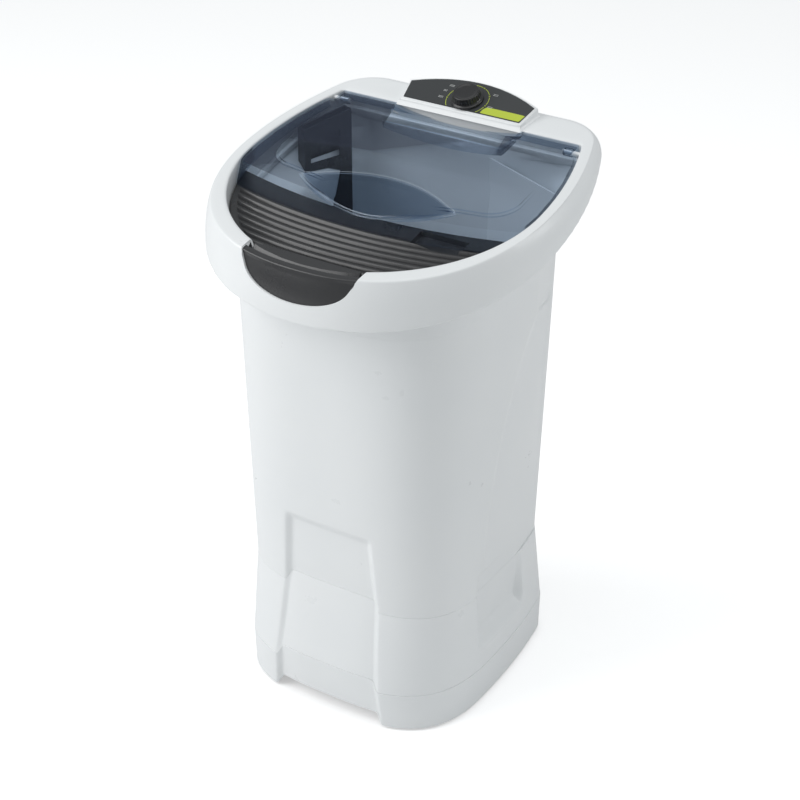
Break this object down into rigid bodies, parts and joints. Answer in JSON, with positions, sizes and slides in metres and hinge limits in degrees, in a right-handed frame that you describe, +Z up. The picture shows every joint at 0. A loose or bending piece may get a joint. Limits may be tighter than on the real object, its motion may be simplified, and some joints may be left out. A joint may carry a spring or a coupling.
{
  "type": "washing machine",
  "caption": "Compact top-loading tub washer with a flared oval rim, clear hinged lid, ribbed washboard, dial timer on a small rear pod and a belt-driven impeller.",
  "frame": {"origin": "on the floor, under the middle of the machine's outer size", "axes": "+X across the machine to the right of someone who stands in front of it, -Y to the front, +Z up"},
  "size_m": [0.4856, 0.4629, 0.8124],
  "materials": {
    "white_shell": "smooth moulded plastic, semi-gloss",
    "clear_lid": "clear blue-grey tinted plastic, polished",
    "black_gloss": "glossy black moulded plastic",
    "charcoal": "satin film on plastic",
    "grey_plastic": "matt grey plastic",
    "black_rubber": "matt rubber",
    "steel": "zinc-plated steel",
    "bronze": "sintered bronze",
    "dark_paint": "dark grey paint",
    "aluminium": "cast aluminium"
  },
  "bodies": {
    "frame": {"top_cover": "white_shell", "wash_tub": "white_shell", "base_housing": "white_shell", "plinth": "white_shell", "base_pan": "grey_plastic", "foot_front_left": "black_rubber", "foot_front_right": "black_rubber", "foot_back_left": "black_rubber", "foot_back_right": "black_rubber", "hinge_pin_left": "white_shell", "hinge_pin_right": "white_shell", "washboard": "black_gloss", "lint_filter": "black_gloss", "wiring_duct": "white_shell", "control_panel": "charcoal", "timer_body": "grey_plastic", "timer_screws": "steel", "shaft_seal": "black_rubber", "bearing_housing": "dark_paint", "upper_bush": "bronze", "lower_bush": "bronze", "housing_screws": "steel", "drive_belt": "black_rubber", "motor_case": "dark_paint", "motor_end_cap": "dark_paint", "motor_plate": "steel", "motor_bolts": "steel", "capacitor": "aluminium", "capacitor_clip": "grey_plastic", "clip_screw": "steel", "drain_elbow": "grey_plastic", "drain_tube": "grey_plastic", "drain_spigot": "grey_plastic", "drain_screen": "grey_plastic", "cord_gland": "grey_plastic", "rear_cover": "white_shell", "rear_cover_screws": "steel", "base_screws": "steel", "pan_screws": "steel"},
    "lid": {"lid": "clear_lid"},
    "timer": {"timer_knob": "black_gloss", "timer_shaft": "steel"},
    "impeller": {"impeller": "grey_plastic", "impeller_shaft": "steel", "impeller_screw": "steel", "large_pulley": "aluminium", "pulley_nut": "steel"},
    "motor": {"motor_pulley": "steel", "motor_shaft": "steel", "motor_rotor": "steel", "motor_fan": "grey_plastic"}
  },
  "joints": [
    {"name": "lid_hinge", "type": "hinge", "parent": "frame", "child": "lid", "pos_m": [0, 0.15866, 0.76852], "axis": [-1, 0, 0], "range_deg": [0, 105]},
    {"name": "timer_turn", "type": "hinge", "parent": "frame", "child": "timer", "pos_m": [0, 0.1945, 0.79187], "axis": [0, 0.3502, -0.9367], "range_deg": [0, 300]},
    {"name": "impeller_spin", "type": "hinge", "parent": "frame", "child": "impeller", "pos_m": [0, 0.0235, 0.293], "axis": [0, 0, 1], "continuous": true},
    {"name": "motor_spin", "type": "hinge", "parent": "frame", "child": "motor", "pos_m": [0.08273, 0.09292, 0.16], "axis": [0, 0, 1], "continuous": true}
  ],
  "couplings": [
    {"joint": "motor_spin", "follows": "impeller_spin", "ratio": 4.9865}
  ]
}
